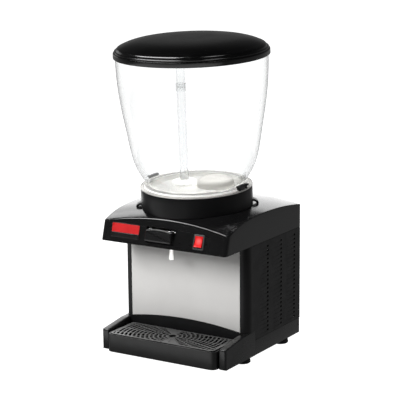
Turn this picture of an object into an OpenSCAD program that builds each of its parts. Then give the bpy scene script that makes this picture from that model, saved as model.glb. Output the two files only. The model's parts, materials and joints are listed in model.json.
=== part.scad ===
// Single-bowl chilled drink dispenser: housing with cup bay, tilted clear bowl,
// push-lever tap, magnetically driven riser pump and a hermetic cooling unit.
// Millimetres, +Z up, front towards -Y, origin on the ground below the middle
// of the overall footprint.

/* [Housing] */
// Width of the housing
body_w = 332; // [331:1:333]
// Depth of the housing base
body_d = 343; // [342:1:344]
// Height of the hood's lower edge above the base edge
hood_z = 257; // [256.5:0.5:257.5]
// Backward lean of the fascia, in degrees
lean = 16.4; // [16.2:0.1:16.6]
// Radius of the domed deck
dome_r = 900; // [896:2:904]
// Height of the rubber feet
foot_h = 11; // [10:0.5:12]
// Rows of louvres in each side panel column
louvre_rows = 21; // [16:1:21]

/* [Bowl] */
// Forward tilt of the bowl, in degrees
tilt = 2.9; // [2.7:0.1:3.1]
// Outer radius of the bowl's foot
foot_r = 111; // [110.6:0.1:111]
// Outer radius of the bowl's rim
rim_r = 171.5; // [170.5:0.5:172]
// Wall thickness of the bowl
bowl_t = 3.5; // [3:0.5:4]
// Outer radius of the collar ring
collar_r = 128.2; // [128:0.1:128.4]

/* [Tap] */
// Distance of the spout in front of the housing's middle
spout_y = 122; // [121.5:0.5:122.5]
// Height of the spout's tip above the base edge
spout_tip = 221.3; // [219:0.5:223]

/* [Tray] */
// Half width of the drip tray
tray_hw = 142.5; // [142:0.5:143]
// Pitch of the grille's ring slots
ring_pitch = 10; // [10:0.5:11]
// Width of the grille's ring slots
ring_slot = 6.2; // [5.6:0.2:6.6]

/* [Hidden] */
$fn = 96;

hw = body_w / 2;
hd = body_d / 2;
y_shift = 18.85;                     // puts the origin under the middle of the footprint
front_y = -168.9;                   // fascia's lower edge
deck_z = 338;                       // top of the deck's dome
deck_c = [0, 22, deck_z - dome_r];  // centre of the deck's sphere
seat = [0, -19.8, 370.6];           // origin of the bowl's frame, just under the pan's flange
pump_x = -32;                       // riser and pump axis, in the bowl's frame
clip_p = [122.2, 14];               // clip pivot, in the bowl's frame
dome_at = [40, 18];                 // cooling dome on the pan's floor, in the bowl's frame
corner_r = 9;                       // hood's front corners
post_r = 19;                        // side panels' front corners
sw = [94, 25];                      // rocker switch centre on the fascia
lev = [4, 39];                      // lever pivot: depth and height on the fascia
plg_z = 23;                         // plunger height on the fascia
tap_x = -4;                         // tap axis, a little left of the middle
pad_x = -9.5;                       // paddle's middle on the fascia
foot_at = [[148, -68], [-148, -68], [149, 107], [-149, 107]];

// frames -----------------------------------------------------------------
module M() { translate([0, y_shift, foot_h]) children(); }
module B() { M() translate(seat) rotate([tilt, 0, 0]) children(); }
module F() { M() translate([0, front_y, hood_z]) rotate([-lean, 0, 0]) children(); }

// shapes -----------------------------------------------------------------
module box(x0, x1, y0, y1, z0, z1) { translate([x0, y0, z0]) cube([x1 - x0, y1 - y0, z1 - z0]); }
module ycyl(r, y0, y1, x = 0, z = 0) { translate([x, y0, z]) rotate([-90, 0, 0]) cylinder(r = r, h = y1 - y0); }
module xcyl(r, x0, x1, y = 0, z = 0) { translate([x0, y, z]) rotate([0, 90, 0]) cylinder(r = r, h = x1 - x0); }
module tube(ro, ri, z0, z1) {
  translate([0, 0, z0]) difference() {
    cylinder(r = ro, h = z1 - z0);
    translate([0, 0, -1]) cylinder(r = ri, h = z1 - z0 + 2);
  }
}
// plan outline with rounded front corners: half width, front, rear, radius
module plan(w, y0, y1, r) {
  translate([-w, y0 + r]) square([2 * w, y1 - y0 - r]);
  translate([-w + r, y0]) square([2 * (w - r), r + 1]);
  for (s = [-1, 1]) translate([s * (w - r), y0 + r]) circle(r = r);
}
// round bar swept along points, with ref as the frames' steady direction
function unit(v) = v / norm(v);
function tan_at(p, i) = unit(p[min(i + 1, len(p) - 1)] - p[max(i - 1, 0)]);
module sweep(p, r, n = 8, ref = [0, 0, 1]) {
  m = len(p);
  pts = [for (i = [0 : m - 1]) let (t = tan_at(p, i), a = unit(cross(ref, t)), b = cross(t, a))
    for (k = [0 : n - 1]) p[i] + r * (cos(360 * k / n) * a + sin(360 * k / n) * b)];
  sides = [for (i = [0 : m - 2], k = [0 : n - 1]) let (j = (k + 1) % n)
    [i * n + k, (i + 1) * n + k, (i + 1) * n + j, i * n + j]];
  ends = [[for (k = [0 : n - 1]) k], [for (k = [0 : n - 1]) m * n - 1 - k]];
  polyhedron(points = pts, faces = concat(sides, ends), convexity = 6);
}
// bowl's outer radius at height h in the bowl's frame
function bowl_r(h) = let (t = (h - 12) / 288)
  foot_r + (rim_r - foot_r) * (1 - pow(1 - t, 2) + 1.277 * t * exp(-pow(t / 0.25, 2)));

// housing ----------------------------------------------------------------
module base_frame() {
  color([0.16, 0.16, 0.17]) M() difference() {
    union() {
      for (s = [0, 1]) mirror([s, 0, 0]) {
        box(hw - 3.5, hw, -63, hd, 0, 36);
        // arm beside the tray, its top rising to the post
        translate([148.3, 0, 0]) rotate([90, 0, 90]) linear_extrude(hw - 148.3)
          polygon([[-171, 0], [-171, 45], [-95, 54], [-40, 56], [-40, 0]]);
      }
      box(-hw, hw, hd - 3.5, hd, 0, 36);
      // arched wall behind the tray
      intersection() {
        box(-149, 149, -78.6, -75.1, 0, 90);
        translate([0, 0, 72 - 894]) ycyl(894, -80, -70, $fn = 720);
      }
      box(-149, 149, -166, -75.1, 0, 2.5);
      // inner flange that carries the pan and the feet
      difference() {
        box(-hw + 1, hw - 1, -78, hd - 1, 0, 3.5);
        box(-124, 124, -48, 140, -1, 5);
      }
    }
    for (s = [0, 1]) mirror([s, 0, 0]) {
      // hollow under each arm
      translate([151.5, 0, 0]) rotate([90, 0, 90]) linear_extrude(hw - 155)
        polygon([[-167, -1], [-167, 42], [-95, 50], [-80, 50.4], [-80, -1]]);
      box(140, hw - 3.5, -74.8, -43, 3.5, 50);
      box(hw - 5, hw + 1, -59, -55, 19, 29);
      box(hw - 5, hw + 1, 163, 167, 19, 30);
    }
    for (f = foot_at) translate([f[0], f[1], -1]) cylinder(r = 3.2, h = 8);
  }
}
module base_pan() {
  color([0.62, 0.63, 0.64]) M() difference() {
    union() {
      box(-158, 158, -38, 166, 3.7, 5.2);
      box(-138, 138, -72, -37, 3.7, 5.2);
    }
    for (f = foot_at) translate([f[0], f[1], 3]) cylinder(r = 7, h = 8);
    for (x = [-60 : 20 : 60]) box(x - 4, x + 4, -55, -15, 3, 8);
  }
}
module feet() {
  color([0.05, 0.05, 0.05]) M() for (f = foot_at) translate([f[0], f[1], -foot_h])
    difference() {
      rotate_extrude() polygon([[0, 0], [17, 0], [19, 2], [17.5, foot_h], [0, foot_h]]);
      translate([0, 0, -1]) cylinder(r = 6, h = 5);
      cylinder(r = 3.1, h = foot_h + 1);
    }
}
module foot_screws() {
  color([0.7, 0.7, 0.72]) M() for (f = foot_at) translate([f[0], f[1], 0]) {
    translate([0, 0, -foot_h + 4]) cylinder(r = 3, h = foot_h + 4);
    translate([0, 0, -foot_h + 1]) cylinder(r = 5.4, h = 3);
    translate([0, 0, 3.6]) cylinder(r = 5.5, h = 4, $fn = 6);
  }
}
module side_panel() {
  difference() {
    union() {
      box(hw - 2.5, hw, -hd + post_r + 96.5, hd - 0.3, 36.3, hood_z - 0.1);
      // post: quarter round from the side to the splash panel
      translate([hw - post_r, -75 + post_r, 36.3]) intersection() {
        difference() {
          cylinder(r = post_r, h = hood_z - 36.4);
          translate([0, 0, -1]) cylinder(r = post_r - 2.5, h = 240);
        }
        translate([0, -30, 0]) cube([30, 30, 240]);
      }
    }
    box(140, hw + 1, -80, -39.7, 30, 56.3);
    // louvres: shallow grooves that open at their rear ends
    for (c = [20.5, 83, 146.5], i = [0 : louvre_rows - 1])
      translate([hw, c, 44.2 + 9.87 * i]) linear_extrude(4.6)
        polygon([[0.2, -42], [0.2, 0], [-2.9, 0], [-2.9, -4.2], [-0.55, -5.4], [-0.2, -42]]);
  }
}
module side_panel_right() { color([0.14, 0.14, 0.145]) M() side_panel(); }
module side_panel_left() { color([0.14, 0.14, 0.145]) M() mirror([1, 0, 0]) side_panel(); }
module rear_panel() {
  color([0.15, 0.15, 0.155]) M() difference() {
    box(-hw + 2.7, hw - 2.7, hd - 2, hd - 0.4, 36.3, hood_z - 0.1);
    for (z = [70 : 12 : 214], x = [-70, 0, 70]) box(x - 28, x + 28, hd - 4, hd + 1, z, z + 5);
    ycyl(9, hd - 4, hd + 1, 120, 56);
    for (x = [-150, 150], z = [50, 245]) ycyl(1.8, hd - 4, hd + 1, x, z);
  }
}
module panel_screws() {
  color([0.55, 0.55, 0.57]) M() {
    for (x = [-150, 150], z = [50, 245]) {
      ycyl(1.7, hd - 9, hd - 0.3, x, z);
      difference() {
        ycyl(3.6, hd - 0.3, hd + 1.6, x, z);
        box(x - 3, x + 3, hd + 0.9, hd + 3, z - 0.5, z + 0.5);
        box(x - 0.5, x + 0.5, hd + 0.9, hd + 3, z - 3, z + 3);
      }
    }
  }
}
module splash_panel() {
  color([0.78, 0.77, 0.75]) M() box(-145.8, 145.8, -74.6, -73.6, 30, hood_z - 0.1);
}
module hood_floor() {
  color([0.06, 0.06, 0.06]) M() difference() {
    translate([0, 0, hood_z + 1]) linear_extrude(2) plan(162.6, -162.4, -60, 6);
    box(tap_x - 14, tap_x + 14, -146, -98, hood_z, hood_z + 5);
  }
}
// hood solid, shrunk inwards by o, with its front wall set back by f
module hood_solid(o, f) {
  intersection() {
    translate(deck_c) sphere(r = dome_r - o, $fn = 400);
    translate([0, front_y, hood_z]) rotate([-lean, 0, 0]) translate([0, 0, -40])
      linear_extrude(330) plan(hw - o, f, 420, corner_r - o);
    box(-hw, hw, -200, hd - o, hood_z - (o > 0 ? 5 : 0), deck_z + 10);
  }
}
module fascia_field(o, y0, y1) {
  intersection() {
    F() box(-152 + o, 121 - o, y0, y1, 4.5 + o, 70);
    M() translate(deck_c) sphere(r = dome_r - 15 - o, $fn = 400);
  }
}
module top_cover() {
  color([0.04, 0.04, 0.045]) difference() {
    M() difference() { hood_solid(0, 0); hood_solid(3, 5); }
    B() translate([0, 0, -100]) cylinder(r = 122.03, h = 110);
    fascia_field(0, -3, 2);
    F() box(-48.3, 33.3, 1, 9, 7.4, 47.3);
    F() box(sw[0] - 11.2, sw[0] + 11.2, 1, 9, sw[1] - 14.4, sw[1] + 14.4);
  }
}
// upstand round the evaporator, set in the deck's round hole
module neck_ring() {
  color([0.05, 0.05, 0.055]) difference() {
    B() translate([0, 0, -64]) cylinder(r = 122, h = 68.5);
    M() translate(deck_c) sphere(r = dome_r - 2.9, $fn = 400);
    B() translate([0, 0, -100]) cylinder(r = 118, h = 120);
  }
}
module fascia_plate() {
  color([0.07, 0.07, 0.075]) difference() {
    fascia_field(0.25, 0, 2);
    F() box(-46, 31, -3, 5, 8.6, 45);
    F() box(sw[0] - 11.2, sw[0] + 11.2, -3, 5, sw[1] - 14.4, sw[1] + 14.4);
  }
}
module badge_plate() {
  color([0.62, 0.06, 0.06]) F() {
    difference() {
      box(-140, -63, -1.2, 0, 11.5, 45.5);
      box(-137, -66, -3, -0.6, 14.5, 42.5);
    }
    box(-136.4, -66.6, -1, -0.6, 15.1, 41.9);
  }
}

// switch -----------------------------------------------------------------
module switch_bezel() {
  color([0.1, 0.1, 0.1]) F() translate([sw[0], 0, sw[1]]) difference() {
    union() {
      box(-13.7, 13.7, -2.5, 0, -17, 17);
      box(-10.9, 10.9, -0.1, 20, -14.1, 14.1);
      for (x = [-6, 0, 6]) box(x - 1, x + 1, 19, 27, -4, 4);
    }
    box(-10.3, 10.3, -4, 18, -13.5, 13.5);
    xcyl(1.52, -12, 12, 3, 0);
  }
}
module switch_rocker() {
  color([0.8, 0.05, 0.06]) F() translate([sw[0], 3, sw[1]]) rotate([-7, 0, 0]) difference() {
    rotate([90, 0, 90]) translate([0, 0, -10]) linear_extrude(20)
      polygon([[-7.5, 12.6], [-5.8, 7], [-5.2, 0], [-5.8, -7], [-7.5, -12.6], [2, -8], [4, 0], [2, 8]]);
    xcyl(1.55, -12, 12);
  }
}
module rocker_pin() { color([0.7, 0.7, 0.72]) F() xcyl(1.5, sw[0] - 10.9, sw[0] + 10.9, 3, sw[1]); }

// tap --------------------------------------------------------------------
module tap_housing() {
  color([0.05, 0.05, 0.05]) F() difference() {
    box(-48, 33, 2.1, 15, 7.6, 47);
    box(-46, 31, 1, 13, 9.2, 45);
    xcyl(2.02, -50, 35, lev[0], lev[1]);
    ycyl(4.6, 10, 20, tap_x, plg_z);
  }
}
module tap_lever() {
  color([0.12, 0.12, 0.125]) F() difference() {
    union() {
      // paddle with an arched top
      intersection() {
        box(pad_x - 35.5, pad_x + 35.5, -9, -2.6, 11.5, 45);
        translate([pad_x, 0, 41.5 - 160]) ycyl(160, -12, 2, $fn = 360);
      }
      for (x = [-36, 21]) {
        xcyl(4, x - 4, x + 4, lev[0], lev[1]);
        box(x - 4, x + 4, -3, lev[0], 35, 40.2);
      }
    }
    box(pad_x - 33, pad_x + 33, -6.6, 0, 14, 33);
    xcyl(2.05, -50, 35, lev[0], lev[1]);
  }
}
module lever_pin() { color([0.7, 0.7, 0.72]) F() xcyl(2, -47.9, 32.9, lev[0], lev[1]); }
module valve_plunger() {
  color([0.85, 0.85, 0.83]) F() translate([tap_x, 0, plg_z]) difference() {
    union() {
      ycyl(4, -5.6, 28.1);
      ycyl(6.4, 15.9, 17.1);
      ycyl(5.96, 28, 30.4);
      ycyl(3, 30.3, 35.9);
      ycyl(5.96, 35.8, 48.5);
    }
    for (y = [28.5, 45.4]) difference() { ycyl(7, y, y + 1.4); ycyl(4.9, y - 1, y + 3); }
  }
}
module plunger_seals() {
  color([0.1, 0.1, 0.1]) F() translate([tap_x, 0, plg_z]) for (y = [28.6, 45.5])
    difference() { ycyl(5.96, y, y + 1.2); ycyl(5, y - 1, y + 3); }
}
module valve_spring() {
  color([0.75, 0.75, 0.76]) F() translate([tap_x, 17.8, plg_z])
    sweep([for (i = [0 : 54]) let (a = i * 20) [5.5 * cos(a), 8.7 * i / 54, 5.5 * sin(a)]], 0.5, 8, [0, 1, 0]);
}
module tap_body() {
  // vertical neck from the pan, cross barrel for the plunger, socket for the spout
  color([0.82, 0.82, 0.8]) difference() {
    union() {
      M() translate([tap_x, -spout_y, 247]) cylinder(r = 11, h = 53);
      M() translate([tap_x, -spout_y, 300]) cylinder(r = 6, h = 56.3);
      F() ycyl(9, 27.2, 56, tap_x, plg_z);
    }
    F() ycyl(6, 20, 53.5, tap_x, plg_z);
    M() translate([tap_x, -spout_y, 252]) cylinder(r = 4.2, h = 120);
    M() translate([tap_x, -spout_y, 240]) cylinder(r = 8.1, h = 12.2);
  }
}
module spout() {
  color([0.95, 0.95, 0.92]) M() translate([tap_x, -spout_y, 0]) rotate_extrude()
    polygon([[4.2, spout_tip + 0.6], [4.6, spout_tip], [5.6, spout_tip], [6, spout_tip + 1], [4.2, 244], [4.4, 246],
      [8, 246], [8, 252], [3, 252], [3, 240]]);
}
module tap_nut() {
  color([0.8, 0.8, 0.78]) M() translate([tap_x, -spout_y, 326]) difference() {
    cylinder(r = 11, h = 6, $fn = 6);
    translate([0, 0, -1]) cylinder(r = 6.05, h = 8);
  }
}

// bowl seat --------------------------------------------------------------
module collar_ring() {
  color([0.1, 0.1, 0.105]) difference() {
    B() difference() {
      union() {
        translate([0, 0, -70]) cylinder(r = collar_r, h = 73.5);
        // finger lugs that stand on the deck
        for (a = [32, 212]) rotate(a) translate([collar_r - 0.6, 0, -46])
          rotate([90, 0, 0]) translate([0, 0, -11]) cylinder(r = 14, h = 22);
      }
      translate([0, 0, -90]) cylinder(r = collar_r - 3.6, h = 110);
    }
    M() translate(deck_c) sphere(r = dome_r + 0.4, $fn = 400);
  }
}
module evaporator_pan() {
  color([0.83, 0.83, 0.8]) difference() {
    B() union() {
      rotate_extrude($fn = 180) polygon([[0, 4], [88.6, 3.4], [90.4, -9], [109.4, -9], [109.4, 6.2], [128.8, 6.2],
        [128.8, 3.7], [127.4, 3.7], [127.4, 4.6], [110.9, 4.6], [110.9, -10.5], [89, -10.5], [87.4, 1.9], [0, 2.5]]);
      // cooling dome on the floor, hollow from below
      translate(dome_at) rotate_extrude()
        polygon([[0, 25], [22, 24.2], [33, 21.8], [39.5, 17.5], [42.6, 11], [43, 2.6], [0, 2.6]]);
    }
    B() translate(dome_at) rotate_extrude()
      polygon([[0, 1], [41.4, 1], [41.1, 10.6], [38.2, 16.4], [32.3, 20.4], [21.8, 22.7], [0, 23.5]]);
    M() translate([tap_x, -spout_y, 330]) cylinder(r = 6.05, h = 40);
    B() for (s = [-1, 1]) translate([s * clip_p[0], s * clip_p[1], 3]) cylinder(r = 2, h = 6);
    B() translate([pump_x, 0, 0]) cylinder(r = 2, h = 8);
  }
}
module evaporator_coil() {
  color([0.72, 0.4, 0.25]) B()
    sweep([for (i = [0 : 60]) let (a = 30 + i * 15, r = 64 + 19 * i / 60) [r * cos(a), r * sin(a), -2]], 3.4, 8);
}
module insulation() {
  color([0.9, 0.88, 0.75]) difference() {
    B() translate([0, 0, -32]) cylinder(r = 114, h = 20.8);
    B() translate([pump_x, 0, -40]) cylinder(r = 32, h = 50);
    M() translate([tap_x, -spout_y, 300]) cylinder(r = 8, h = 60);
  }
}
module bowl_gasket() { color([0.8, 0.79, 0.75]) B() tube(118.3, 111.5, 6.3, 9.2); }
module bowl() {
  color([0.8, 0.85, 0.88, 0.35]) B() rotate_extrude($fn = 180) polygon(concat(
    [[foot_r - bowl_t, 9.3], [118.3, 9.3], [118.3, 12.4], [foot_r, 12.4]],
    [for (i = [0 : 24]) let (h = 13.4 + 286.6 * pow(i / 24, 1.4)) [bowl_r(h), h]],
    [[rim_r, 307.6], [rim_r - bowl_t, 307.6]],
    [for (i = [24 : -1 : 0]) let (h = 13.4 + 286.6 * pow(i / 24, 1.4)) [bowl_r(h) - bowl_t, h]]));
}
module bowl_clip() {
  translate([0, 0, 4]) difference() {
    union() {
      // plate over the bowl's foot flange
      hull_plate();
      box(119.9, 125.6, -17, 5.5, 2.6, 9.2);
      translate([clip_p[0], clip_p[1], 2.6]) cylinder(r = 3.6, h = 8);
      translate([121.5, -17, 8.9]) box(-2.5, 2.5, -4, 0, -4, 3.3);
    }
    translate([clip_p[0], clip_p[1], 0]) cylinder(r = 2.04, h = 11);
  }
}
module hull_plate() {
  translate([0, 0, 8.9]) linear_extrude(3.3) {
    translate([114, -17]) square([11.6, 31]);
    translate(clip_p) circle(r = 7.6);
  }
}
module bowl_clip_right() { color([0.1, 0.1, 0.1]) B() bowl_clip(); }
module bowl_clip_left() { color([0.1, 0.1, 0.1]) B() rotate(180) bowl_clip(); }
module clip_pins() {
  color([0.7, 0.7, 0.72]) B() for (s = [-1, 1]) translate([s * clip_p[0], s * clip_p[1], 4.7])
    cylinder(r = 2, h = 9.8);
}
module lid() {
  color([0.03, 0.03, 0.03]) B() rotate_extrude($fn = 180) polygon([
    [172.5, 304.9], [176.2, 304.9], [175.9, 312.8], [174.5, 315.2], [170.7, 317.2], [169.4, 317.4], [169, 319],
    [166.5, 322.6], [159.8, 327.8], [147.8, 333.5], [132.8, 337.7], [115, 340.5], [95, 342], [73, 342.8],
    [50, 343.2], [0, 343.4], [0, 340.4], [50, 340.2], [95, 339], [115, 337.4], [131.5, 334.7], [146, 330.6],
    [157, 325.4], [163.5, 319.6], [166.5, 308], [172.5, 308]]);
}

// pump -------------------------------------------------------------------
module pump_cover() {
  color([0.93, 0.94, 0.93]) B() translate([pump_x, 0, 0]) difference() {
    rotate_extrude() polygon([[26, 4.4], [28, 4.4], [28, 11], [25, 13.6], [11, 15], [9.9, 16], [7.9, 16], [7.9, 28], [6.2, 28],
      [6.2, 13], [10, 12.6], [24.4, 11.4], [26, 10]]);
    for (a = [0 : 30 : 330]) rotate(a) translate([23, -3, 5.4]) cube([8, 6, 3.4]);
  }
}
module impeller() {
  color([0.88, 0.88, 0.86]) B() translate([pump_x, 0, 0]) difference() {
    union() {
      translate([0, 0, 5]) cylinder(r = 20, h = 1.6);
      translate([0, 0, 5]) cylinder(r = 4.5, h = 5.4);
      for (a = [0 : 60 : 300]) rotate(a) translate([3.5, -0.8, 5.5]) cube([19.5, 1.6, 4.6]);
    }
    translate([0, 0, 4]) cylinder(r = 2.04, h = 5.4);
  }
}
module impeller_shaft() { color([0.75, 0.75, 0.76]) B() translate([pump_x, 0, 2]) cylinder(r = 2, h = 7); }
module riser_tube() { color([0.85, 0.88, 0.9, 0.4]) B() translate([pump_x, 0, 0]) tube(10, 8, 16.1, 229); }
module riser_sleeve() { color([0.85, 0.88, 0.9, 0.4]) B() translate([pump_x, 0, 0]) tube(11.6, 10.05, 221, 237); }
module spray_tube() { color([0.85, 0.88, 0.9, 0.4]) B() translate([pump_x, 0, 0]) tube(10, 8, 229.2, 321); }
module spray_cap() {
  color([0.85, 0.88, 0.9, 0.6]) B() translate([pump_x, 0, 0]) difference() {
    rotate_extrude() polygon([[0, 331], [6, 330.4], [12.5, 326], [12.5, 314], [10.1, 314], [10.1, 321.2], [8, 321.4],
      [8, 326], [5, 328.4], [0, 329]]);
    for (a = [0 : 60 : 300]) rotate(a) translate([6, -2, 322.6]) cube([10, 4, 3]);
  }
}
module drive_magnet() {
  color([0.25, 0.25, 0.27]) B() translate([pump_x, 0, 0]) {
    translate([0, 0, -8]) cylinder(r = 24, h = 8.5);
    translate([0, 0, -30]) cylinder(r = 3, h = 23);
  }
}
module pump_motor() {
  color([0.3, 0.3, 0.32]) B() translate([pump_x, 0, 0]) difference() {
    union() {
      translate([0, 0, -58]) cylinder(r = 28, h = 42);
      translate([0, 0, -16.5]) cylinder(r = 10, h = 5.5);
    }
    translate([0, 0, -31]) cylinder(r = 3.05, h = 40);
  }
}
module motor_bracket() {
  color([0.62, 0.63, 0.64]) B() difference() {
    union() {
      box(-112, 48, -9, 9, -38.5, -36.5);
      translate([pump_x, 0, -38.5]) cylinder(r = 33, h = 2);
      for (x = [-112, 46]) box(x, x + 2, -9, 9, -36.5, -32.1);
    }
    translate([pump_x, 0, -40]) cylinder(r = 28.1, h = 6);
  }
}

// drip tray --------------------------------------------------------------
module tray_plan(o, y0, y1) { plan(tray_hw - o, y0 + o, y1 - o, 15 - o); }
module drip_tray() {
  color([0.21, 0.21, 0.21]) M() difference() {
    union() {
      translate([0, 0, 3]) linear_extrude(39) tray_plan(0, -184.5, -79.6);
      intersection() {
        translate([0, 0, 0.2]) linear_extrude(3) tray_plan(0, -184.5, -79.6);
        box(-200, 200, -200, -167, 0, 4);
      }
    }
    translate([0, 0, 5.5]) linear_extrude(50) tray_plan(4.8, -184.5, -79.6);
    translate([0, 0, 39.7]) linear_extrude(50) tray_plan(2.6, -184.5, -79.6);
  }
}
module wedge(a0, a1, r) {
  linear_extrude(12) polygon([[0, 0], [r * cos(a0), r * sin(a0)], [r * cos((a0 + a1) / 2), r * sin((a0 + a1) / 2)],
    [r * cos(a1), r * sin(a1)]]);
}
module drip_grille() {
  hub = [0, -129];
  color([0.23, 0.23, 0.23]) M() {
    difference() {
      translate([0, 0, 40]) linear_extrude(4) tray_plan(3, -184.5, -79.6);
      // ring slots in two fans, left and right of the plain wedges
      intersection() {
        translate([0, 0, 38]) linear_extrude(8) tray_plan(9, -184.5, -79.6);
        difference() {
          translate([hub[0], hub[1], 38]) difference() {
            for (i = [0 : 12]) tube(18 + ring_pitch * i + ring_slot / 2, 18 + ring_pitch * i - ring_slot / 2, 0, 8);
            wedge(-90, -45, 260);
            wedge(90, 135, 260);
            for (a = [0 : 15 : 345]) rotate(a) box(36, 180, -1.4, 1.4, 0, 9);
            for (a = [0 : 30 : 330]) rotate(a) box(8, 38, -1.3, 1.3, 0, 9);
          }
        }
      }
      translate([hub[0], hub[1], 38]) cylinder(r = 9, h = 8);
    }
    // ribs on the front wedge
    translate([hub[0], hub[1], 43.9]) {
      for (a = [-90, -45]) rotate(a) box(10, 50, -1.2, 1.2, 0, 0.9);
      rotate(-67.5) box(28, 47, -1.1, 1.1, 0, 0.9);
    }
  }
}

// cooling unit -----------------------------------------------------------
module compressor() {
  color([0.08, 0.08, 0.085]) M() {
    translate([-78, 70, 0]) rotate_extrude() polygon([[0, 20], [40, 20], [52, 28], [56, 40], [56, 82], [58, 82], [58, 88],
      [56, 88], [55, 112], [46, 132], [28, 142], [0, 145]]);
    difference() {
      box(-128, -28, 10, 130, 15.4, 20.1);
      for (x = [-118, -38], y = [20, 120]) translate([x, y, 10]) cylinder(r = 6.1, h = 15);
    }
    box(-60, -30, 12, 32, 55, 85);
  }
}
module compressor_mounts() {
  color([0.06, 0.06, 0.06]) M() for (x = [-118, -38], y = [20, 120]) translate([x, y, 0]) {
    translate([0, 0, 5.3]) cylinder(r = 10, h = 10);
    translate([0, 0, 15.3]) cylinder(r = 6, h = 6);
    translate([0, 0, 21.3]) cylinder(r = 9, h = 3);
  }
}
module condenser_fins() {
  color([0.75, 0.76, 0.77]) M() difference() {
    union() { for (i = [0 : 13]) box(104, 144, 4 + 10 * i, 5 + 10 * i, 30, 190); }
    for (x = [114, 134], z = [50, 90, 130, 170]) ycyl(4.05, 0, 150, x, z);
  }
}
module condenser_tubes() {
  color([0.72, 0.4, 0.25]) M() {
    for (x = [114, 134], z = [50, 90, 130, 170]) ycyl(4, -8, 146, x, z);
    for (z = [50, 90, 130, 170]) box(114, 134, 142, 146.5, z - 4, z + 4);
    for (z = [50, 130], x = [114, 134]) box(x - 4, x + 4, -12, -8, z - 4, z + 44);
  }
}
module fan_shroud() {
  color([0.1, 0.1, 0.1]) M() difference() {
    union() {
      box(96, 98, -6, 152, 12, 196);
      for (y = [-6, 150]) {
        box(80, 97.5, y, y + 2, 5.3, 195);
        box(30, 81, y, y + 2, 100, 122);
      }
      box(30, 33, -5, 151, 101, 121);
    }
    xcyl(66, 90, 105, 73, 111);
    xcyl(5, 20, 40, 73, 111);
  }
}
module fan_motor() {
  color([0.3, 0.3, 0.32]) M() {
    xcyl(24, 33.1, 58, 73, 111);
    xcyl(4.8, 24, 33.1, 73, 111);
    xcyl(2.5, 58, 78, 73, 111);
  }
}
module fan_blade() {
  color([0.18, 0.18, 0.19]) M() translate([0, 73, 111]) difference() {
    union() {
      xcyl(14, 66, 82);
      for (a = [0 : 72 : 288]) rotate([a, 0, 0]) translate([74, 0, 12]) rotate([0, 0, 28])
        box(-1.2, 1.2, -16, 16, 0, 52);
    }
    xcyl(2.54, 60, 79);
  }
}
module thermostat() {
  color([0.85, 0.85, 0.83]) M() {
    box(-120, -80, -66, -40, 200, 240);
    xcyl(4, -80, -70, -53, 220);
  }
}
module terminal_block() {
  color([0.9, 0.9, 0.88]) M() difference() {
    box(-20, 22, -70, -52, 5.3, 24);
    for (x = [-12, 1, 14]) translate([x, -61, 12]) cylinder(r = 3, h = 15);
  }
}
module filter_drier() {
  color([0.72, 0.4, 0.25]) M() translate([60, -30, 0]) rotate_extrude()
    polygon([[0, 70], [3, 70], [3.2, 76], [10, 86], [10, 140], [3.2, 150], [3, 156], [0, 156]]);
}
module refrigerant_tubes() {
  color([0.72, 0.4, 0.25]) M() {
    // condenser outlet to drier
    sweep([for (t = [0 : 0.1 : 1]) [114 - 54 * t, -16 - 14 * sin(90 * t), 50 + 12 * t * t * t + 5 * t]], 2.6, 8, [0, 1, 0]);
    // drier to evaporator
    sweep([for (t = [0 : 0.1 : 1]) [60 + 4 * sin(180 * t), -30 + 12 * t, 156.5 + 148 * t]], 2.2, 8, [1, 0, 0]);
    // suction line down to compressor
    sweep([for (t = [0 : 0.1 : 1]) [-96 + 6 * sin(180 * t), 70 - 60 * t, 150 + 145 * t]], 3.4, 8, [1, 0, 0]);
  }
}
module cord_gland() {
  color([0.05, 0.05, 0.05]) M() translate([120, 0, 56]) rotate([-90, 0, 0]) difference() {
    union() {
      translate([0, 0, hd - 9]) cylinder(r = 8.9, h = 9.4);
      translate([0, 0, hd - 0.3]) cylinder(r = 12, h = 2.4);
      translate([0, 0, hd - 9]) cylinder(r = 12, h = 6.5, $fn = 6);
    }
    translate([0, 0, hd - 20]) cylinder(r = 4.2, h = 40);
  }
}

base_frame();
base_pan();
feet();
foot_screws();
side_panel_left();
side_panel_right();
rear_panel();
panel_screws();
splash_panel();
hood_floor();
top_cover();
neck_ring();
fascia_plate();
badge_plate();
switch_bezel();
switch_rocker();
rocker_pin();
tap_housing();
tap_lever();
lever_pin();
tap_body();
valve_plunger();
plunger_seals();
valve_spring();
spout();
tap_nut();
collar_ring();
evaporator_pan();
evaporator_coil();
insulation();
bowl_gasket();
bowl();
bowl_clip_left();
bowl_clip_right();
clip_pins();
lid();
pump_cover();
impeller();
impeller_shaft();
riser_tube();
riser_sleeve();
spray_tube();
spray_cap();
drive_magnet();
pump_motor();
motor_bracket();
drip_tray();
drip_grille();
compressor();
compressor_mounts();
condenser_fins();
condenser_tubes();
fan_shroud();
fan_motor();
fan_blade();
thermostat();
terminal_block();
filter_drier();
refrigerant_tubes();
cord_gland();
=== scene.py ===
import json
import math
from math import sin, cos, tan, pi, radians, sqrt, exp, atan2

import bmesh
import bpy
from mathutils import Matrix, Vector

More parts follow.
